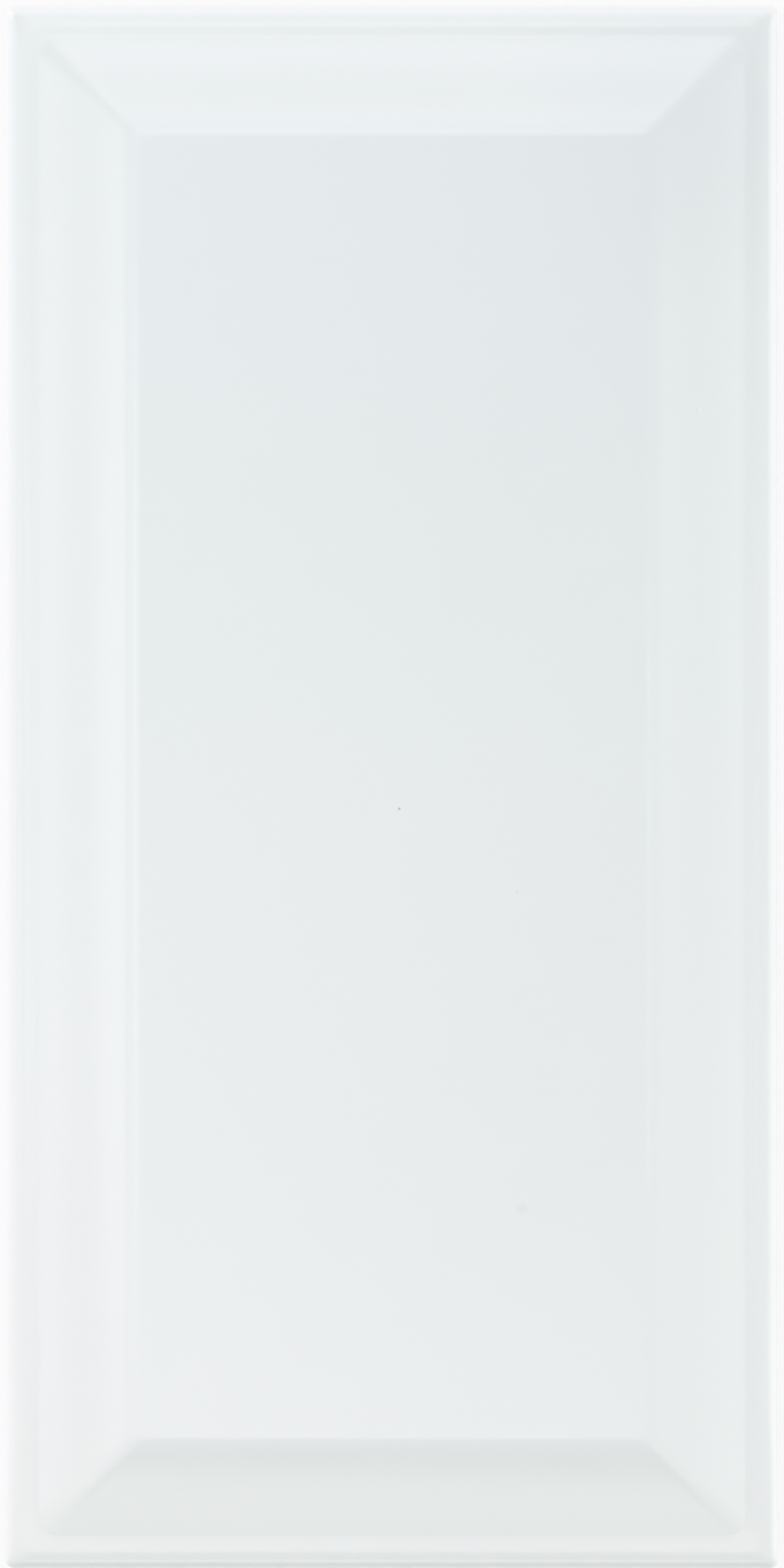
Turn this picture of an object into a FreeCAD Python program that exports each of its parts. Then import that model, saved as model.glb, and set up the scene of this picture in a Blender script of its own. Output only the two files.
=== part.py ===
import FreeCAD, Part
import math
import os
import Sketcher

# A bevelled subway wall tile: one dry-pressed ceramic piece, glazed on its face and bare on its back.
# The tile lies on its back. X runs across it, Y along it and Z out of the glazed face.
# The origin is the middle of the back face. All sizes are in millimetres, the draft in degrees.

# The driving sizes
SIZES = {
    # The whole tile, made for a 3 by 6 inch grid with a 1/16 inch joint
    "tile_width": 74.6,
    "tile_length": 150.8,
    "tile_thickness": 7.9,
    # The border of the face: a rim that falls a little to a rolled edge
    "rim_width": 3.2,
    "rim_fall": 0.2,
    "edge_radius": 0.75,
    "corner_extra": 0.05,
    # The bevel that rises from the rim to the flat panel
    "bevel_width": 9.0,
    "bevel_rise": 2.6,
    "foot_radius": 8.0,
    "arris_radius": 7.0,
    "mitre_extra": 0.1,
    # The keyed back: a grid of shallow recesses that the adhesive grips
    "back_chamfer": 0.5,
    "back_margin": 4.3,
    "recess_columns": 4,
    "recess_rows": 8,
    "recess_depth": 0.7,
    "recess_corner": 1.6,
    "recess_draft": 35,
    "rib_width": 2.6,
}

# Sizes that follow from the driving ones, as expressions on the sheet
RIM_HEIGHT = "(sizes.tile_thickness - sizes.bevel_rise)"
EDGE_HEIGHT = f"({RIM_HEIGHT} - sizes.rim_fall)"
FOOT_WIDTH = "(sizes.tile_width - 2 * sizes.rim_width)"
FOOT_LENGTH = "(sizes.tile_length - 2 * sizes.rim_width)"
PANEL_WIDTH = f"({FOOT_WIDTH} - 2 * sizes.bevel_width)"
PANEL_LENGTH = f"({FOOT_LENGTH} - 2 * sizes.bevel_width)"
# The plan corners are just round enough for the rolled edge to pass round them.
EDGE_CORNER = "(sizes.edge_radius + sizes.corner_extra)"
# The mitres are just round enough for the arris to roll round the panel's corners.
BEVEL_SLANT = "sqrt(sizes.bevel_rise ^ 2 + sizes.bevel_width ^ 2)"
MITRE_CORNER = f"(sizes.arris_radius * sizes.bevel_rise / {BEVEL_SLANT} + sizes.mitre_extra)"
# The recesses share what the margins and the ribs between them leave of the back.
FIELD_WIDTH = "(sizes.tile_width - 2 * sizes.back_margin)"
FIELD_LENGTH = "(sizes.tile_length - 2 * sizes.back_margin)"
COLUMN_STEP = f"(({FIELD_WIDTH} + sizes.rib_width) / sizes.recess_columns)"
ROW_STEP = f"(({FIELD_LENGTH} + sizes.rib_width) / sizes.recess_rows)"
RECESS_WIDTH = f"({COLUMN_STEP} - sizes.rib_width)"
RECESS_LENGTH = f"({ROW_STEP} - sizes.rib_width)"

QUARTER_TURN = math.pi / 2
LEVEL_TOLERANCE = 1e-4


def make_sheet(doc):
    """The spreadsheet that holds the driving sizes, one to a row, each with its alias."""
    sheet = doc.addObject("Spreadsheet::Sheet", "sizes")
    for row, (alias, size) in enumerate(SIZES.items(), start=1):
        sheet.set(f"A{row}", alias)
        sheet.set(f"B{row}", str(size))
        sheet.setAlias(f"B{row}", alias)
    doc.recompute()


def rounded_rectangle(body, name, height, width, length, corner, right, top):
    """A level sketch of a rectangle with round corners, placed by its right and top sides.

    Every size is an expression on the sheet, which also gives the sketch its first shape.
    """
    sheet = body.Document.getObject("sizes")
    radius = float(sheet.evalExpression(corner))
    right_now = float(sheet.evalExpression(right))
    top_now = float(sheet.evalExpression(top))
    left_now = right_now - float(sheet.evalExpression(width))
    bottom_now = top_now - float(sheet.evalExpression(length))

    plane = next(item for item in body.Origin.OriginFeatures if item.Role == "XY_Plane")
    sketch = body.newObject("Sketcher::SketchObject", name)
    sketch.AttachmentSupport = [(plane, "")]
    sketch.MapMode = "FlatFace"
    sketch.setExpression("AttachmentOffset.Base.z", height)

    # The centres of the corners, anticlockwise from the bottom left
    centres = [
        FreeCAD.Vector(left_now + radius, bottom_now + radius, 0),
        FreeCAD.Vector(right_now - radius, bottom_now + radius, 0),
        FreeCAD.Vector(right_now - radius, top_now - radius, 0),
        FreeCAD.Vector(left_now + radius, top_now - radius, 0),
    ]
    # The way out of each side: bottom, right, top, left
    outward = [
        FreeCAD.Vector(0, -radius, 0),
        FreeCAD.Vector(radius, 0, 0),
        FreeCAD.Vector(0, radius, 0),
        FreeCAD.Vector(-radius, 0, 0),
    ]
    up = FreeCAD.Vector(0, 0, 1)
    for side in range(4):
        here = centres[side]
        ahead = centres[(side + 1) % 4]
        start_angle = (side - 1) * QUARTER_TURN
        circle = Part.Circle(ahead, up, radius)
        sketch.addGeometry(Part.LineSegment(here + outward[side], ahead + outward[side]))
        sketch.addGeometry(Part.ArcOfCircle(circle, start_angle, start_angle + QUARTER_TURN))

    # Sides are the even items and corners the odd ones, each tangent to the next
    for item in range(8):
        sketch.addConstraint(Sketcher.Constraint("Tangent", item, 2, (item + 1) % 8, 1))
    sketch.addConstraint(Sketcher.Constraint("Horizontal", 0))
    sketch.addConstraint(Sketcher.Constraint("Vertical", 2))
    sketch.addConstraint(Sketcher.Constraint("Horizontal", 4))
    sketch.addConstraint(Sketcher.Constraint("Vertical", 6))
    for item in (3, 5, 7):
        sketch.addConstraint(Sketcher.Constraint("Equal", 1, item))

    dimensions = {
        "corner": (Sketcher.Constraint("Radius", 1, radius), corner),
        "width": (Sketcher.Constraint("DistanceX", 6, 1, 2, 1, right_now - left_now), width),
        "length": (Sketcher.Constraint("DistanceY", 0, 1, 4, 1, top_now - bottom_now), length),
        "right": (Sketcher.Constraint("DistanceX", -1, 1, 2, 1, right_now), right),
        "top": (Sketcher.Constraint("DistanceY", -1, 1, 4, 1, top_now), top),
    }
    for label, (constraint, expression) in dimensions.items():
        index = sketch.addConstraint(constraint)
        sketch.renameConstraint(index, label)
        sketch.setExpression(f"Constraints.{label}", expression)
    body.Document.recompute()
    return sketch


def centred_rectangle(body, name, height, width, length, corner):
    """A rounded rectangle about the tile's middle."""
    return rounded_rectangle(body, name, height, width, length, corner, f"{width} / 2", f"{length} / 2")


def loop_at(feature, height):
    """The names of the edges of a feature that lie level at one height."""
    level = float(feature.Document.getObject("sizes").evalExpression(height))
    names = []
    for number, edge in enumerate(feature.Shape.Edges, start=1):
        box = edge.BoundBox
        if abs(box.ZMin - level) < LEVEL_TOLERANCE and abs(box.ZMax - level) < LEVEL_TOLERANCE:
            names.append(f"Edge{number}")
    return names


def rounded_loop(body, name, base, height, radius):
    """A fillet round the whole loop of edges at one height."""
    fillet = body.newObject("PartDesign::Fillet", name)
    fillet.Base = (base, loop_at(base, height))
    fillet.setExpression("Radius", radius)
    body.Document.recompute()
    return fillet


def make_slab(body):
    """The straight-sided lower part of the tile."""
    outline = centred_rectangle(
        body, "slab_outline", "0", "sizes.tile_width", "sizes.tile_length", EDGE_CORNER)
    slab = body.newObject("PartDesign::Pad", "slab")
    slab.Profile = outline
    slab.setExpression("Length", EDGE_HEIGHT)
    body.Document.recompute()


def make_frustum(body, name, lower, upper):
    """The solid between two level outlines."""
    frustum = body.newObject("PartDesign::AdditiveLoft", name)
    frustum.Profile = lower
    frustum.Sections = [upper]
    frustum.Ruled = True
    body.Document.recompute()
    return frustum


def make_face(body):
    """The face over the slab: a sloping rim, then mitred bevels up to a flat panel."""
    edge = centred_rectangle(
        body, "edge_outline", EDGE_HEIGHT, "sizes.tile_width", "sizes.tile_length", EDGE_CORNER)
    foot = centred_rectangle(body, "foot_outline", RIM_HEIGHT, FOOT_WIDTH, FOOT_LENGTH, MITRE_CORNER)
    panel = centred_rectangle(
        body, "panel_outline", "sizes.tile_thickness", PANEL_WIDTH, PANEL_LENGTH, MITRE_CORNER)
    make_frustum(body, "rim", edge, foot)
    return make_frustum(body, "bevel", foot, panel)


def soften_face(body, face):
    """The soft arris round the panel, the cove at the foot of the bevel and the rolled outer edge."""
    arris = rounded_loop(body, "arris", face, "sizes.tile_thickness", "sizes.arris_radius")
    cove = rounded_loop(body, "cove", arris, RIM_HEIGHT, "sizes.foot_radius")
    return rounded_loop(body, "rolled_edge", cove, EDGE_HEIGHT, "sizes.edge_radius")


def break_back_edge(body, base):
    """The small chamfer that the press leaves round the back."""
    chamfer = body.newObject("PartDesign::Chamfer", "back_edge")
    chamfer.Base = (base, loop_at(base, "0"))
    chamfer.setExpression("Size", "sizes.back_chamfer")
    body.Document.recompute()
    return chamfer


def key_back(body):
    """The grid of drafted recesses pressed into the back."""
    recess_outline = rounded_rectangle(
        body, "recess_outline", "0", RECESS_WIDTH, RECESS_LENGTH, "sizes.recess_corner",
        f"{FIELD_WIDTH} / 2", f"{FIELD_LENGTH} / 2")
    recess = body.newObject("PartDesign::Pocket", "recess")
    recess.Profile = recess_outline
    recess.Reversed = True
    recess.setExpression("Length", "sizes.recess_depth")
    recess.setExpression("TaperAngle", "-sizes.recess_draft")
    body.Document.recompute()

    grid = body.newObject("PartDesign::MultiTransform", "recess_grid")
    grid.Originals = [recess]
    columns = body.newObject("PartDesign::LinearPattern", "recess_columns_pattern")
    columns.Direction = (recess_outline, ["H_Axis"])
    columns.Reversed = True
    columns.setExpression("Length", f"(sizes.recess_columns - 1) * {COLUMN_STEP}")
    columns.setExpression("Occurrences", "sizes.recess_columns")
    rows = body.newObject("PartDesign::LinearPattern", "recess_rows_pattern")
    rows.Direction = (recess_outline, ["V_Axis"])
    rows.Reversed = True
    rows.setExpression("Length", f"(sizes.recess_rows - 1) * {ROW_STEP}")
    rows.setExpression("Occurrences", "sizes.recess_rows")
    grid.Transformations = [columns, rows]
    body.Tip = grid
    body.Document.recompute()
    return grid


def check_document(doc):
    """Stops the build where a feature failed or a sketch is left loose."""
    for item in doc.Objects:
        if "Invalid" in item.State or "Error" in item.State:
            raise RuntimeError(f"{item.Name} failed: {item.State}")
        if item.TypeId == "Sketcher::SketchObject" and not item.FullyConstrained:
            raise RuntimeError(f"{item.Name} isn't fully constrained")


def write_step(body):
    """Writes one sub-part to its own STEP file, named by its label."""
    shape = body.Shape
    if shape.isNull() or not shape.isValid():
        raise RuntimeError(f"{body.Label} has no valid shape")
    if len(shape.Solids) != 1:
        raise RuntimeError(f"{body.Label} isn't one solid")
    shape.exportStep(os.path.join("parts", f"{body.Label}.step"))


doc = FreeCAD.newDocument("subway_tile")
make_sheet(doc)

tile = doc.addObject("PartDesign::Body", "bevelled_tile")
tile.Label = "bevelled_tile"
make_slab(tile)
softened_face = soften_face(tile, make_face(tile))
plain_back = break_back_edge(tile, softened_face)
keyed_back = key_back(tile)
if keyed_back.Shape.Volume >= plain_back.Shape.Volume:
    raise RuntimeError("the recesses cut nothing from the back")

check_document(doc)
os.makedirs("parts", exist_ok=True)
write_step(tile)
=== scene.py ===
import math

import bmesh
import bpy
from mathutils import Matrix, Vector, noise


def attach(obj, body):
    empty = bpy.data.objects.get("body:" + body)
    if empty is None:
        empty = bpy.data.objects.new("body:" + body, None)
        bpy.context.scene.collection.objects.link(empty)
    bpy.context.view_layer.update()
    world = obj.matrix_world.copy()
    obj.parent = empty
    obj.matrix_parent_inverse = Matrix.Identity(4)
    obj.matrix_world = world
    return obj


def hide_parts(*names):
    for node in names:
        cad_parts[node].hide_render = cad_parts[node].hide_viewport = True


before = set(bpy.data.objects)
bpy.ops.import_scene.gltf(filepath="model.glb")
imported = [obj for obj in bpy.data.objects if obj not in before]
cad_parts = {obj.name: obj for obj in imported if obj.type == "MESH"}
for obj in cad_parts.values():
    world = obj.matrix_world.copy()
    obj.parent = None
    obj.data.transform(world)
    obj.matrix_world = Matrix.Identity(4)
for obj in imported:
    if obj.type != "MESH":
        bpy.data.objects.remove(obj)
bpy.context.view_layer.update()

# A bevelled subway wall tile lying on its back: white glaze over the face, bare biscuit on the back.
# X runs across the tile, Y along it and Z out of the glazed face. The tile's sizes are in millimetres.
MM = 0.001

# The whole tile
TILE_WIDTH = 74.6
TILE_LENGTH = 150.8
TILE_THICKNESS = 7.9
HALF_WIDTH = TILE_WIDTH / 2
HALF_LENGTH = TILE_LENGTH / 2

# The section of the face, inwards from the edge
RIM_WIDTH = 3.2
RIM_FALL = 0.1
BEVEL_WIDTH = 9.0
BEVEL_RISE = 2.6
RIM_SLOPE = RIM_FALL / RIM_WIDTH
BEVEL_SLOPE = BEVEL_RISE / BEVEL_WIDTH
# The bevel is a little pillowed, steeper at its foot than at the panel
BEVEL_PILLOW = 0.22
# How far the foot of the bevel, the arris round the panel and the rolled edge are spread
COVE_WIDTH = 0.6
ARRIS_WIDTH = 2.1
ROLL_WIDTH = 2.1
ROLL_DROP = 1.1
# The roll is tighter at the near end, and the foot is a plain crease there
NEAR_ROLL = 0.7
NEAR_COVE = 0.02
SECTION_STEP = 0.01
# About how far apart the grid lines of the face lie, and how many there are on the rolled edge
ROLL_STEPS = 10
RIM_STEP = 0.3
COVE_STEP = 0.15
BEVEL_STEP = 0.33
ARRIS_STEP = 0.2
BORDER_STEP = 0.6
PANEL_STEP = 1.4
# An edge that turns more than this is sharp
SHARP_ANGLE = math.radians(30)
# The fired panel is a little lower towards its ends, and the glaze lies in slow waves
PANEL_CROWN = 0.04
GLAZE_WAVE = 0.006
GLAZE_WAVE_SPAN = 18.0

# The corners in plan: the outer corner, the wider foot of the mitre and the corner of the panel
CORNER_ZONE = 17.0
EDGE_CORNER = 0.8
MITRE_CORNER = 1.7
PANEL_CORNER = 0.8

# The keyed back
BACK_CHAMFER = 0.5
BACK_MARGIN = 4.3
RECESS_COLUMNS = 4
RECESS_ROWS = 8
RECESS_DEPTH = 0.7
RECESS_CORNER = 1.6
RECESS_DRAFT = math.radians(35)
RIB_WIDTH = 2.6
RECESS_ARC_STEPS = 7
LIP_ROUND = 0.16
COLUMN_STEP = (TILE_WIDTH - 2 * BACK_MARGIN + RIB_WIDTH) / RECESS_COLUMNS
ROW_STEP = (TILE_LENGTH - 2 * BACK_MARGIN + RIB_WIDTH) / RECESS_ROWS


def smooth(t):
    """A soft step from 0 to 1."""
    t = min(max(t, 0.0), 1.0)
    return t * t * (3 - 2 * t)


# The face

def face_slope(inset):
    """How steeply the face rises at a distance in from the edge, without the rolled edge and the cove."""
    if inset < RIM_WIDTH:
        return RIM_SLOPE
    along = min((inset - RIM_WIDTH) / BEVEL_WIDTH, 1.0)
    bevel = BEVEL_SLOPE * (1 + BEVEL_PILLOW * (1 - 2 * along))
    arris = smooth((inset - RIM_WIDTH - BEVEL_WIDTH) / ARRIS_WIDTH + 0.5)
    return bevel * (1 - arris)


def face_section():
    """How far the face lies under the panel, at small steps in from the edge."""
    depths = [0.0]
    for step in range(round(CORNER_ZONE / SECTION_STEP), 0, -1):
        depths.append(depths[-1] + face_slope((step - 0.5) * SECTION_STEP) * SECTION_STEP)
    return depths[::-1]


FACE_SECTION = face_section()


def face_height(inset):
    """The height of the face at a distance in from the edge, without the rolled edge and the cove."""
    place = min(inset / SECTION_STEP, len(FACE_SECTION) - 1.001)
    step = int(place)
    share = place - step
    return TILE_THICKNESS - FACE_SECTION[step] * (1 - share) - FACE_SECTION[step + 1] * share


def eased(near_share, y):
    """A share that is smaller at the near end and whole beyond the corner zone."""
    return near_share + (1 - near_share) * smooth((y + HALF_LENGTH - RIM_WIDTH) / CORNER_ZONE)


def coved_fill(inset, y):
    """How far the cove stands above the crease between the rim and the bevel."""
    width = COVE_WIDTH * eased(NEAR_COVE, y)
    across = min(max((inset - RIM_WIDTH) / width + 0.5, 0.0), 1.0)
    fill = across ** 3 - across ** 4 / 2 - max(0.0, across - 0.5)
    return (BEVEL_SLOPE * (1 + BEVEL_PILLOW) - RIM_SLOPE) * width * fill


def rolled_drop(inset, y):
    """How far the rolled edge has fallen at a distance in from the edge."""
    size = eased(NEAR_ROLL, y)
    short = max(0.0, 1 - inset / (ROLL_WIDTH * size))
    return ROLL_DROP * size * (1 - math.sqrt(1 - short ** 2))


def evenly(start, end, step):
    """Points from start up to but not at end, about one step apart."""
    count = max(1, round((end - start) / step))
    return [start + (end - start) * i / count for i in range(count)]


def inset_stations():
    """The distances in from an edge that carry vertices, out to the end of the corner zone."""
    roll = [ROLL_WIDTH * (1 - math.cos(math.pi / 2 * i / ROLL_STEPS)) for i in range(ROLL_STEPS)]
    cove_start = RIM_WIDTH - COVE_WIDTH / 2
    cove_end = RIM_WIDTH + COVE_WIDTH / 2
    arris_start = RIM_WIDTH + BEVEL_WIDTH - ARRIS_WIDTH / 2
    arris_end = RIM_WIDTH + BEVEL_WIDTH + ARRIS_WIDTH / 2
    rim = evenly(ROLL_WIDTH, cove_start, RIM_STEP)
    cove = evenly(cove_start, RIM_WIDTH, COVE_STEP) + evenly(RIM_WIDTH, cove_end, COVE_STEP)
    bevel = evenly(cove_end, arris_start, BEVEL_STEP)
    arris = evenly(arris_start, arris_end, ARRIS_STEP)
    panel = evenly(arris_end, CORNER_ZONE, BORDER_STEP)
    return roll + rim + cove + bevel + arris + panel


def side_stations(half_size):
    """The distances of every grid line across the tile from one of its edges."""
    near = inset_stations()
    between = evenly(CORNER_ZONE, 2 * half_size - CORNER_ZONE, PANEL_STEP)
    far = [2 * half_size - CORNER_ZONE] + [2 * half_size - inset for inset in reversed(near)]
    return near + between + far


def plan_corner(inset):
    """The radius that a contour of the face turns its corner with."""
    wide = EDGE_CORNER + (MITRE_CORNER - EDGE_CORNER) * smooth(inset / RIM_WIDTH)
    radius = wide + (PANEL_CORNER - wide) * smooth((inset - RIM_WIDTH) / BEVEL_WIDTH)
    return min(radius, CORNER_ZONE - inset)


def round_corner(first, second):
    """Moves a grid point in a corner so that the contours turn there on an arc.

    Both distances are in from the two edges. The smaller one names the contour.
    """
    low = min(first, second)
    high = max(first, second)
    if high >= CORNER_ZONE:
        return first, second
    radius = plan_corner(low)
    straight = CORNER_ZONE - low - radius
    travelled = (CORNER_ZONE - high) / (CORNER_ZONE - low) * (straight + radius * math.pi / 4)
    if travelled <= straight:
        along, across = CORNER_ZONE - travelled, low
    else:
        turn = (travelled - straight) / radius
        along = low + radius * (1 - math.sin(turn))
        across = low + radius * (1 - math.cos(turn))
    return (along, across) if first >= second else (across, along)


def place(x_station, y_station):
    """The plan position of a grid point, from its distances from the left and bottom edges."""
    left = x_station <= HALF_WIDTH
    low = y_station <= HALF_LENGTH
    first = x_station if left else TILE_WIDTH - x_station
    second = y_station if low else TILE_LENGTH - y_station
    first, second = round_corner(first, second)
    x = first - HALF_WIDTH if left else HALF_WIDTH - first
    y = second - HALF_LENGTH if low else HALF_LENGTH - second
    return x, y


def fired_sag(x, y, inset):
    """How far the face lies under its drawn shape: a slight crown and the waves of the glaze."""
    crown = PANEL_CROWN * ((x / HALF_WIDTH) ** 2 + (y / HALF_LENGTH) ** 2) / 2
    where = Vector((x, y, 0)) / GLAZE_WAVE_SPAN
    wave = GLAZE_WAVE * (1 + noise.noise(where))
    return (crown + wave) * smooth(inset / RIM_WIDTH)


def add_face(mesh, columns, rows):
    """The glazed face as one grid. Returns the grid of its vertices, by column."""
    grid = []
    for x_station in columns:
        line = []
        for y_station in rows:
            x, y = place(x_station, y_station)
            inset = min(x_station, TILE_WIDTH - x_station, y_station, TILE_LENGTH - y_station)
            z = face_height(inset) + coved_fill(inset, y) - rolled_drop(inset, y) - fired_sag(x, y, inset)
            line.append(mesh.verts.new((x, y, z)))
        grid.append(line)
    for i in range(len(columns) - 1):
        for j in range(len(rows) - 1):
            mesh.faces.new((grid[i][j], grid[i + 1][j], grid[i + 1][j + 1], grid[i][j + 1]))
    return grid


def near_crease(mesh, grid, columns, rows):
    """The edges along the foot of the near bevel, from one mitre to the other."""
    foot = rows.index(RIM_WIDTH)
    ends = [i for i, x_station in enumerate(columns) if RIM_WIDTH <= x_station <= TILE_WIDTH - RIM_WIDTH]
    return [mesh.edges.get((grid[i][foot], grid[i + 1][foot])) for i in ends[:-1]]


# The sides

def border(grid):
    """The outermost vertices of the grid, anticlockwise from the bottom left, as four sides."""
    bottom = [line[0] for line in grid[:-1]]
    right = grid[-1][:-1]
    top = [line[-1] for line in reversed(grid[1:])]
    left = grid[0][:0:-1]
    return [bottom, right, top, left]


def add_sides(mesh, sides):
    """The straight sides from the rolled edge down to the chamfer of the back. Returns the back's border."""
    upper = [vertex for side in sides for vertex in side]
    middle = (face_height(0) - ROLL_DROP + BACK_CHAMFER) / 2
    for z, shrink in ((middle, 0), (BACK_CHAMFER, 0), (0, BACK_CHAMFER)):
        lower = []
        for vertex in upper:
            x = vertex.co.x * (HALF_WIDTH - shrink) / HALF_WIDTH
            y = vertex.co.y * (HALF_LENGTH - shrink) / HALF_LENGTH
            lower.append(mesh.verts.new((x, y, z)))
        for i in range(len(upper)):
            j = (i + 1) % len(upper)
            mesh.faces.new((lower[i], lower[j], upper[j], upper[i]))
        upper = lower
    counts = [len(side) for side in sides]
    starts = [sum(counts[:k]) for k in range(5)]
    return [upper[starts[k]:starts[k + 1]] for k in range(4)]


# The back

def recess_ring(mesh, middle_x, middle_y, shrink, z):
    """One level ring of a recess, as four corner arcs, anticlockwise from the bottom left."""
    half_x = (COLUMN_STEP - RIB_WIDTH) / 2 - shrink
    half_y = (ROW_STEP - RIB_WIDTH) / 2 - shrink
    radius = RECESS_CORNER - shrink
    corners = ((-1, -1), (1, -1), (1, 1), (-1, 1))
    ring = []
    for k, (side_x, side_y) in enumerate(corners):
        arc = []
        for step in range(RECESS_ARC_STEPS + 1):
            angle = math.pi + (k + step / RECESS_ARC_STEPS) * math.pi / 2
            x = middle_x + side_x * (half_x - radius) + radius * math.cos(angle)
            y = middle_y + side_y * (half_y - radius) + radius * math.sin(angle)
            arc.append(mesh.verts.new((x, y, z)))
        ring.append(arc)
    return ring


def add_recess(mesh, middle_x, middle_y, cell):
    """One recess pressed into the back, inside its cell of four corner vertices."""
    draft = RECESS_DEPTH * math.tan(RECESS_DRAFT)
    # Each step of the wall: how far in from the mouth it lies, and how deep
    steps = (
        (-LIP_ROUND, 0.0),
        (-0.3 * LIP_ROUND, 0.25 * LIP_ROUND),
        (0.4 * LIP_ROUND, LIP_ROUND),
        (draft - LIP_ROUND, RECESS_DEPTH - LIP_ROUND),
        (draft + 0.2 * LIP_ROUND, RECESS_DEPTH - 0.2 * LIP_ROUND),
        (draft + LIP_ROUND, RECESS_DEPTH),
    )
    rings = [recess_ring(mesh, middle_x, middle_y, shrink, z) for shrink, z in steps]
    outer = rings[0]
    for k in range(4):
        after = (k + 1) % 4
        mesh.faces.new((cell[after], cell[k], outer[k][-1], outer[after][0]))
        mesh.faces.new([cell[k]] + outer[k])
    for upper, lower in zip(rings, rings[1:]):
        rim = [vertex for arc in upper for vertex in arc]
        floor = [vertex for arc in lower for vertex in arc]
        for i in range(len(rim)):
            j = (i + 1) % len(rim)
            mesh.faces.new((rim[i], floor[i], floor[j], rim[j]))
    mesh.faces.new([vertex for arc in reversed(rings[-1]) for vertex in reversed(arc)])


def add_back(mesh, sides):
    """The keyed back: a plain margin round a grid of recesses with ribs between them."""
    left = -RECESS_COLUMNS * COLUMN_STEP / 2
    bottom = -RECESS_ROWS * ROW_STEP / 2
    knots = []
    for i in range(RECESS_COLUMNS + 1):
        x = left + i * COLUMN_STEP
        knots.append([mesh.verts.new((x, bottom + j * ROW_STEP, 0)) for j in range(RECESS_ROWS + 1)])
    for i in range(RECESS_COLUMNS):
        for j in range(RECESS_ROWS):
            cell = (knots[i][j], knots[i + 1][j], knots[i + 1][j + 1], knots[i][j + 1])
            add_recess(mesh, left + (i + 0.5) * COLUMN_STEP, bottom + (j + 0.5) * ROW_STEP, cell)
    frames = border(knots)
    for k in range(4):
        after = (k + 1) % 4
        inner = frames[k] + [frames[after][0]]
        outer = sides[k] + [sides[after][0]]
        mesh.faces.new(inner + outer[::-1])


# The glaze and the biscuit

def link(tree, source, target):
    """Joins an output socket to an input socket."""
    tree.links.new(source, target)


def maths(tree, operation, first, second, third=None):
    """A maths node. Each value is a number or an output socket."""
    node = tree.nodes.new("ShaderNodeMath")
    node.operation = operation
    for socket, value in zip(node.inputs, (first, second, third)):
        if value is None:
            continue
        if isinstance(value, bpy.types.NodeSocket):
            link(tree, value, socket)
        else:
            socket.default_value = value
    return node.outputs[0]


def noise_field(tree, where, scale, detail, roughness=0.5):
    """A noise value from 0 to 1 over the object's own space."""
    node = tree.nodes.new("ShaderNodeTexNoise")
    node.inputs["Scale"].default_value = scale
    node.inputs["Detail"].default_value = detail
    node.inputs["Roughness"].default_value = roughness
    link(tree, where, node.inputs["Vector"])
    return node.outputs["Fac"]


def ramp(tree, value, low, high, bottom=0.0, top=1.0):
    """A value carried smoothly from one range to another."""
    node = tree.nodes.new("ShaderNodeMapRange")
    node.interpolation_type = "SMOOTHSTEP"
    node.inputs["From Min"].default_value = low
    node.inputs["From Max"].default_value = high
    node.inputs["To Min"].default_value = bottom
    node.inputs["To Max"].default_value = top
    link(tree, value, node.inputs["Value"])
    return node.outputs["Result"]


def blend_colour(tree, share, first, second):
    """Two colours mixed by a share. Each colour is written out or an output socket."""
    node = tree.nodes.new("ShaderNodeMix")
    node.data_type = "RGBA"
    link(tree, share, node.inputs["Factor"])
    ends = [socket for socket in node.inputs if socket.type == "RGBA"]
    for socket, colour in zip(ends, (first, second)):
        if isinstance(colour, bpy.types.NodeSocket):
            link(tree, colour, socket)
        else:
            socket.default_value = (*colour, 1.0)
    return next(socket for socket in node.outputs if socket.type == "RGBA")


def spot(tree, where, x, y, radius):
    """A soft round spot of the face, 1 at its middle and 0 outside its radius."""
    away = tree.nodes.new("ShaderNodeVectorMath")
    away.operation = "SUBTRACT"
    link(tree, where, away.inputs[0])
    away.inputs[1].default_value = (x * MM, y * MM, 0)
    level = tree.nodes.new("ShaderNodeVectorMath")
    level.operation = "MULTIPLY"
    link(tree, away.outputs[0], level.inputs[0])
    level.inputs[1].default_value = (1, 1, 0)
    reach = tree.nodes.new("ShaderNodeVectorMath")
    reach.operation = "LENGTH"
    link(tree, level.outputs[0], reach.inputs[0])
    return ramp(tree, reach.outputs["Value"], 0, radius * MM, 1, 0)


def bumped(tree, height, distance, before=None):
    """A bump from a height, laid over an earlier one."""
    node = tree.nodes.new("ShaderNodeBump")
    node.inputs["Distance"].default_value = distance
    link(tree, height, node.inputs["Height"])
    if before is not None:
        link(tree, before, node.inputs["Normal"])
    return node.outputs["Normal"]


# Painted shade: the glaze is painted darker and cooler towards the far end, from the near-end glaze to the
# far-end colour
FAR_SHADE_GLAZE = (0.785, 0.852, 0.855)
NEUTRAL_GLAZE = (0.857, 0.885, 0.879)
THIN_GLAZE = (0.885, 0.880, 0.890)
# How much of the painted far-end shade the slopes take
SLOPE_SHADE_SHARE = 0.7
# The glaze is painted darker round its far right corner: painted shade
CORNER_SHADE_GLAZE = (0.757, 0.815, 0.825)
SHADE_CORNER = (29.0, 64.0)
SHADE_REACH = 22.0
CORNER_SHADE_SHARE = 0.45
SPECK = (0.33, 0.32, 0.30)
BISCUIT_PALE = (0.74, 0.70, 0.62)
BISCUIT_DEEP = (0.64, 0.59, 0.50)
KILN_WASH = (0.82, 0.80, 0.76)
GLAZE_IOR = 1.52
GLAZE_SHINE = (0.07, 0.12)
BISCUIT_MATT = 0.72
BISCUIT_MATT_SPREAD = 0.15
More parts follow.
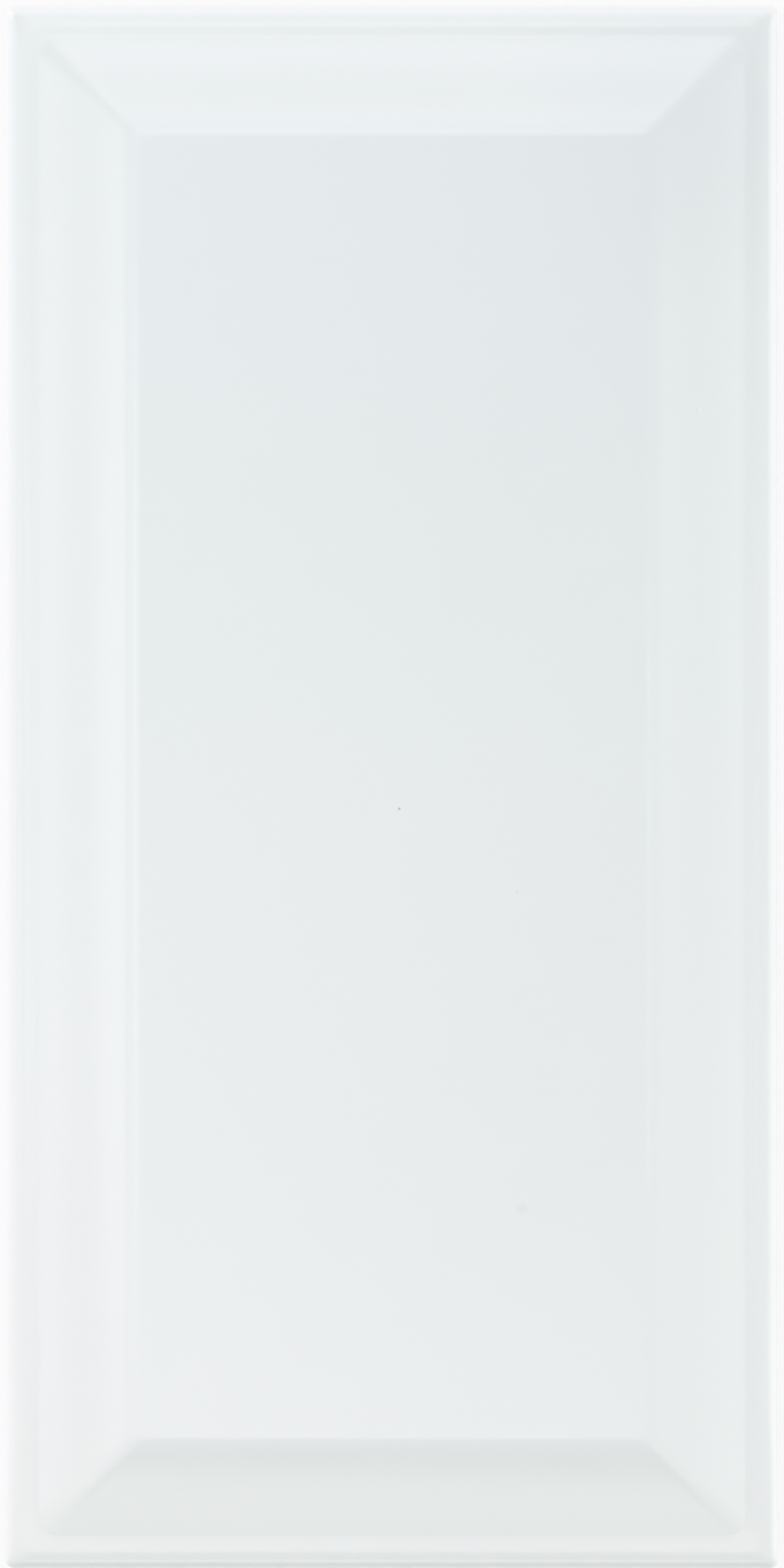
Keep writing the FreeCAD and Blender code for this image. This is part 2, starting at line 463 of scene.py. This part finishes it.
# Noise scales, per metre
LINE_SCALE = 130
CLOUD_SCALE = 45
CLAY_SCALE = 900
WASH_SCALE = 120
SHINE_SCALE = 160
PEEL_SCALE = 320
GRAIN_SCALE = 2600
# The ragged height on the sides where the glaze ends
GLAZE_LINE = 2.6
GLAZE_LINE_SPREAD = 1.8
GLAZE_LINE_SOFT = 0.08
# Where along the tile the glaze's painted shade runs from the near end to the darker, cooler far end, and
# how far the clouds shift that
FAR_SHADE_START = -90
FAR_SHADE_END = 115
CLOUD_SHIFT = 24
# The heights between which the slopes' smaller share of painted shade becomes the panel's
SLOPE_TOP = 7.55
PANEL_LOW = 7.82
# The heights between which the thin glaze of the rolled edge ends, and its share below them
THIN_LOW = 4.7
THIN_TOP = 5.24
THIN_SHARE = 0.5
# The heights between which the wash on the ribs ends
WASH_LOW = 0.05
WASH_TOP = 0.3
# The part of a noise that a wear or a mottle is taken from, and how much wash the wear leaves
WEAR_RANGE = (0.35, 0.6)
WASH_LEFT = (0.15, 0.85)
MOTTLE_RANGE = (0.3, 0.7)
# Heights of the orange peel and of the biscuit's grain
PEEL_HEIGHT = 0.008
GRAIN_HEIGHT = 0.09
# Small faults of the glaze: a pinhole, a faint smudge and two pimples
PINHOLE = (0.7, -2.1)
PINHOLE_RADIUS = 0.2
PINHOLE_SHARE = 0.8
SMUDGE = (12.5, -40.6)
SMUDGE_RADIUS = 0.9
SMUDGE_SHARE = 0.07
PIMPLES = ((12.0, -10.0), (29.5, 36.3))
PIMPLE_RADIUS = 0.28
PIMPLE_HEIGHT = 0.06


def tile_material():
    """White glaze over the face and upper sides, and bare biscuit below its ragged lower line."""
    material = bpy.data.materials.new("glaze_on_biscuit")
    material.use_nodes = True
    tree = material.node_tree
    shader = tree.nodes["Principled BSDF"]
    shader.inputs["IOR"].default_value = GLAZE_IOR
    where = tree.nodes.new("ShaderNodeTexCoord").outputs["Object"]
    axes = tree.nodes.new("ShaderNodeSeparateXYZ")
    link(tree, where, axes.inputs[0])

    # Where the glaze ends on the sides
    ragged = noise_field(tree, where, LINE_SCALE, detail=4)
    lowest = GLAZE_LINE - GLAZE_LINE_SPREAD / 2
    line = maths(tree, "MULTIPLY_ADD", ragged, GLAZE_LINE_SPREAD * MM, lowest * MM)
    above = maths(tree, "SUBTRACT", axes.outputs["Z"], line)
    glazed = ramp(tree, above, -GLAZE_LINE_SOFT * MM, GLAZE_LINE_SOFT * MM)

    # The glaze is painted darker and cooler towards the far end, as painted shade for the fall of light
    # along the tile, with faint clouds
    clouds = noise_field(tree, where, CLOUD_SCALE, detail=3)
    drift = maths(tree, "MULTIPLY_ADD", clouds, CLOUD_SHIFT * MM, axes.outputs["Y"])
    far_shade = ramp(tree, drift, FAR_SHADE_START * MM, FAR_SHADE_END * MM)
    # The slopes take only part of that painted shade, so they are painted lighter than the panel
    level = ramp(tree, axes.outputs["Z"], SLOPE_TOP * MM, PANEL_LOW * MM, SLOPE_SHADE_SHARE, 1)
    glaze = blend_colour(tree, maths(tree, "MULTIPLY", far_shade, level), NEUTRAL_GLAZE, FAR_SHADE_GLAZE)
    # Painted shade: a darker patch of glaze round the far right corner
    corner_shade = maths(tree, "MULTIPLY", spot(tree, where, *SHADE_CORNER, SHADE_REACH), CORNER_SHADE_SHARE)
    glaze = blend_colour(tree, corner_shade, glaze, CORNER_SHADE_GLAZE)
    # It is thin and white over the rolled edge, except at the near end, where the rolled edge keeps the
    # darker glaze as painted shade
    thin = ramp(tree, axes.outputs["Z"], THIN_LOW * MM, THIN_TOP * MM, THIN_SHARE, 0)
    # Painted shade: the near end of the rolled edge gets none of the paler thin glaze
    clear_of_near_shade = ramp(tree, axes.outputs["Y"], -HALF_LENGTH * MM, (RIM_WIDTH - HALF_LENGTH) * MM)
    glaze = blend_colour(tree, maths(tree, "MULTIPLY", thin, clear_of_near_shade), glaze, THIN_GLAZE)
    smudge = maths(tree, "MULTIPLY", spot(tree, where, *SMUDGE, SMUDGE_RADIUS), SMUDGE_SHARE)
    glaze = blend_colour(tree, smudge, glaze, SPECK)
    pinhole = maths(tree, "MULTIPLY", spot(tree, where, *PINHOLE, PINHOLE_RADIUS), PINHOLE_SHARE)
    glaze = blend_colour(tree, pinhole, glaze, SPECK)

    # The biscuit is mottled clay
    mottle = noise_field(tree, where, CLAY_SCALE, detail=5, roughness=0.6)
    clay = blend_colour(tree, ramp(tree, mottle, *MOTTLE_RANGE), BISCUIT_DEEP, BISCUIT_PALE)
    # A white wash, rubbed thin in places, covers the ribs that stood in the kiln
    worn = ramp(tree, noise_field(tree, where, WASH_SCALE, detail=4), *WEAR_RANGE, *WASH_LEFT)
    rib = ramp(tree, axes.outputs["Z"], WASH_LOW * MM, WASH_TOP * MM, 1, 0)
    clay = blend_colour(tree, maths(tree, "MULTIPLY", worn, rib), clay, KILN_WASH)
    link(tree, blend_colour(tree, glazed, clay, glaze), shader.inputs["Base Color"])

    shine = ramp(tree, noise_field(tree, where, SHINE_SCALE, detail=3), *MOTTLE_RANGE, *GLAZE_SHINE)
    matt = maths(tree, "MULTIPLY_ADD", mottle, BISCUIT_MATT_SPREAD, BISCUIT_MATT)
    rough = tree.nodes.new("ShaderNodeMix")
    link(tree, glazed, rough.inputs["Factor"])
    link(tree, matt, rough.inputs["A"])
    link(tree, shine, rough.inputs["B"])
    link(tree, rough.outputs["Result"], shader.inputs["Roughness"])

    # Orange peel and pimples on the glaze, grain on the biscuit
    peel = maths(tree, "MULTIPLY", noise_field(tree, where, PEEL_SCALE, detail=2), glazed)
    bare = maths(tree, "SUBTRACT", 1.0, glazed)
    coarse = noise_field(tree, where, GRAIN_SCALE, detail=4, roughness=0.65)
    grain = maths(tree, "MULTIPLY", coarse, bare)
    normal = bumped(tree, grain, GRAIN_HEIGHT * MM, bumped(tree, peel, PEEL_HEIGHT * MM))
    for x, y in PIMPLES:
        pimple = maths(tree, "MULTIPLY", spot(tree, where, x, y, PIMPLE_RADIUS), glazed)
        normal = bumped(tree, pimple, PIMPLE_HEIGHT * MM, normal)
    link(tree, normal, shader.inputs["Normal"])
    return material


def make_tile():
    """The whole tile as one closed piece."""
    mesh = bmesh.new()
    columns = side_stations(HALF_WIDTH)
    rows = side_stations(HALF_LENGTH)
    grid = add_face(mesh, columns, rows)
    add_back(mesh, add_sides(mesh, border(grid)))
    bmesh.ops.scale(mesh, vec=(MM, MM, MM), verts=mesh.verts)
    bmesh.ops.recalc_face_normals(mesh, faces=mesh.faces)
    for face in mesh.faces:
        face.smooth = True
    for edge in mesh.edges:
        edge.smooth = edge.calc_face_angle(0) < SHARP_ANGLE
    for edge in near_crease(mesh, grid, columns, rows):
        edge.smooth = False
    data = bpy.data.meshes.new("glazed_tile")
    mesh.to_mesh(data)
    mesh.free()
    tile = bpy.data.objects.new("glazed_tile", data)
    bpy.context.scene.collection.objects.link(tile)
    tile.data.materials.append(tile_material())
    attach(tile, "root")
    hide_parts("bevelled_tile")


# The floor, the light and the camera, in metres

FLOOR_SIZE = 12.0
FLOOR_WHITE = (0.98, 0.98, 0.985)
# How much of the floor is seen at its plain white, and not as it is lit
SEEN_SHARE = 0.85


def make_floor():
    """A plain white floor that keeps some of the tile's shadow. It is open under the keyed back."""
    far = FLOOR_SIZE / 2
    wide = (HALF_WIDTH - BACK_CHAMFER) * MM
    long = (HALF_LENGTH - BACK_CHAMFER) * MM
    outer = [(-far, -far, 0), (far, -far, 0), (far, far, 0), (-far, far, 0)]
    inner = [(-wide, -long, 0), (wide, -long, 0), (wide, long, 0), (-wide, long, 0)]
    faces = [(k, (k + 1) % 4, (k + 1) % 4 + 4, k + 4) for k in range(4)]
    data = bpy.data.meshes.new("floor")
    data.from_pydata(outer + inner, [], faces)
    floor = bpy.data.objects.new("floor", data)
    bpy.context.scene.collection.objects.link(floor)
    material = bpy.data.materials.new("floor_white")
    material.use_nodes = True
    tree = material.node_tree
    tree.nodes.clear()
    matt = tree.nodes.new("ShaderNodeBsdfDiffuse")
    matt.inputs["Color"].default_value = (*FLOOR_WHITE, 1)
    plain = tree.nodes.new("ShaderNodeEmission")
    plain.inputs["Color"].default_value = (*FLOOR_WHITE, 1)
    path = tree.nodes.new("ShaderNodeLightPath")
    seen = maths(tree, "MAXIMUM", path.outputs["Is Camera Ray"], path.outputs["Is Glossy Ray"])
    seen = maths(tree, "MAXIMUM", seen, path.outputs["Is Transmission Ray"])
    either = tree.nodes.new("ShaderNodeMixShader")
    link(tree, maths(tree, "MULTIPLY", seen, SEEN_SHARE), either.inputs["Fac"])
    link(tree, matt.outputs[0], either.inputs[1])
    link(tree, plain.outputs[0], either.inputs[2])
    output = tree.nodes.new("ShaderNodeOutputMaterial")
    link(tree, either.outputs[0], output.inputs["Surface"])
    data.materials.append(material)


# The studio: an even white room with darker and brighter soft patches.
# A patch has its direction, its full and outer spread in degrees, and what it adds to the room.
ROOM_LEVEL = 1.037
# A dark patch overhead, with a small glow in it
OVERHEAD = ((0.06, 0.045, 1.0), 1, 10, -1.45)
GLOW = ((-0.01, 0.02, 1.0), 1, 4, 0.36)
# From below, a dimmer room with one brighter side
UNDERFOOT = ((0.0, 0.0, -1.0), 20, 88, -0.8)
LOW_SIDE = ((0.6, -0.5, -0.62), 8, 45, 1.5)
# The bands of patches on the sides: lean from straight up, full spread and outer spread, in degrees
BANDS = {
    "top": (4, 2, 6),
    "rim": (7, 2, 5),
    "rise": (9, 3, 9),
    "roll": (11, 3, 6),
    "high": (16, 3, 8),
    "wall": (21, 15, 24),
    "middle": (28, 2, 6),
    "dark": (30, 3, 8),
    "gap": (36, 1.5, 4),
    "crease": (36, 6, 18),
    "corner": (36, 12, 27),
    "slope": (41, 6, 11),
    "low": (44, 4, 9),
    "side": (62, 24, 46),
    "horizon": (72, 12, 34),
}
# Which way each side lies, and what its patches add
SIDES = {
    "left": ((-1, 0), {"rim": 1.25, "high": 0.6, "middle": 1.15, "low": 0.68, "horizon": 0.5}),
    "right": ((1, 0), {"rim": 1.85, "high": 0.2, "middle": 0.4, "horizon": 1.45}),
    "right wall": ((0.91, 0.42), {"wall": -0.6}),
    "far": ((0, 1), {"top": 0.6, "rise": 0.7, "high": 0.7, "gap": -0.5, "slope": -0.12}),
    "near": ((0, -1), {"top": 0.9, "roll": -0.65, "slope": 1.45, "side": -1.0}),
    "near left": ((-0.71, -0.71), {"crease": 0.6}),
    "near left mitre": ((-0.39, -0.92), {"slope": 1.0}),
    "near right mitre": ((0.39, -0.92), {"slope": 0.6}),
    "near right": ((0.12, -0.99), {"high": -1.3, "dark": -1.1}),
    "far left": ((-0.71, 0.71), {"crease": -1.0}),
    "far right": ((0.71, 0.71), {"crease": -0.85, "corner": -0.35}),
}
# The room is a little pinker and cooler towards the far end than towards the near end
COOL_WAY = (-0.25, 0.88, 0.36)
COOL_ROOM = (1.032, 0.976, 1.018)
WARM_ROOM = (0.961, 1.019, 0.972)
TINT_START = -0.6
TINT_END = 0.8
# A soft lamp to the far left
KEY_PLACE = (-0.45, 0.35, 0.25)
KEY_SIZE = 0.35
KEY_POWER = 0.5


def studio_patches():
    """Every soft patch: its direction, its full and outer spread, and what it adds."""
    patches = [OVERHEAD, GLOW, UNDERFOOT, LOW_SIDE]
    for way, amounts in SIDES.values():
        for band, amount in amounts.items():
            lean, full, outer = BANDS[band]
            out = math.sin(math.radians(lean))
            direction = (way[0] * out, way[1] * out, math.cos(math.radians(lean)))
            patches.append((direction, full, outer, amount))
    return patches


def make_light():
    """The studio's white room, and the soft lamp."""
    world = bpy.data.worlds.new("studio")
    bpy.context.scene.world = world
    world.use_nodes = True
    tree = world.node_tree
    background = tree.nodes["Background"]
    way = tree.nodes.new("ShaderNodeTexCoord").outputs["Generated"]

    def towards(direction):
        """How much the way looked in agrees with a direction."""
        node = tree.nodes.new("ShaderNodeVectorMath")
        node.operation = "DOT_PRODUCT"
        link(tree, way, node.inputs[0])
        node.inputs[1].default_value = direction
        return node.outputs["Value"]

    level = None
    for direction, full, outer, amount in studio_patches():
        facing = towards(Vector(direction).normalized())
        patch = ramp(tree, facing, math.cos(math.radians(outer)), math.cos(math.radians(full)), 0, amount)
        level = maths(tree, "ADD", patch, ROOM_LEVEL if level is None else level)
    link(tree, maths(tree, "MAXIMUM", level, 0.0), background.inputs["Strength"])
    tint = ramp(tree, towards(COOL_WAY), TINT_START, TINT_END)
    link(tree, blend_colour(tree, tint, WARM_ROOM, COOL_ROOM), background.inputs["Color"])

    data = bpy.data.lights.new("key", "AREA")
    data.size = KEY_SIZE
    data.energy = KEY_POWER
    key = bpy.data.objects.new("key", data)
    key.location = KEY_PLACE
    key.rotation_euler = Vector(KEY_PLACE).to_track_quat("Z", "Y").to_euler()
    key.visible_camera = False
    bpy.context.scene.collection.objects.link(key)


CAMERA_DISTANCE = 0.9
CAMERA_FAR = 10
FRAME_LENGTH = 0.15143
# The point of the tile that the camera stands over, and its height above the back
AIM_Y = 0.28 * MM
AIM_HEIGHT = 4.2 * MM


def make_camera():
    """A long lens straight above the tile, with the tile's far end at the top of the frame."""
    data = bpy.data.cameras.new("camera")
    data.lens = data.sensor_width * CAMERA_DISTANCE / FRAME_LENGTH
    data.clip_end = CAMERA_FAR
    camera = bpy.data.objects.new("camera", data)
    camera.location = (0, AIM_Y, CAMERA_DISTANCE + AIM_HEIGHT)
    bpy.context.scene.collection.objects.link(camera)
    bpy.context.scene.camera = camera


make_tile()
make_floor()
make_light()
make_camera()
bpy.context.scene.view_settings.view_transform = "Standard"
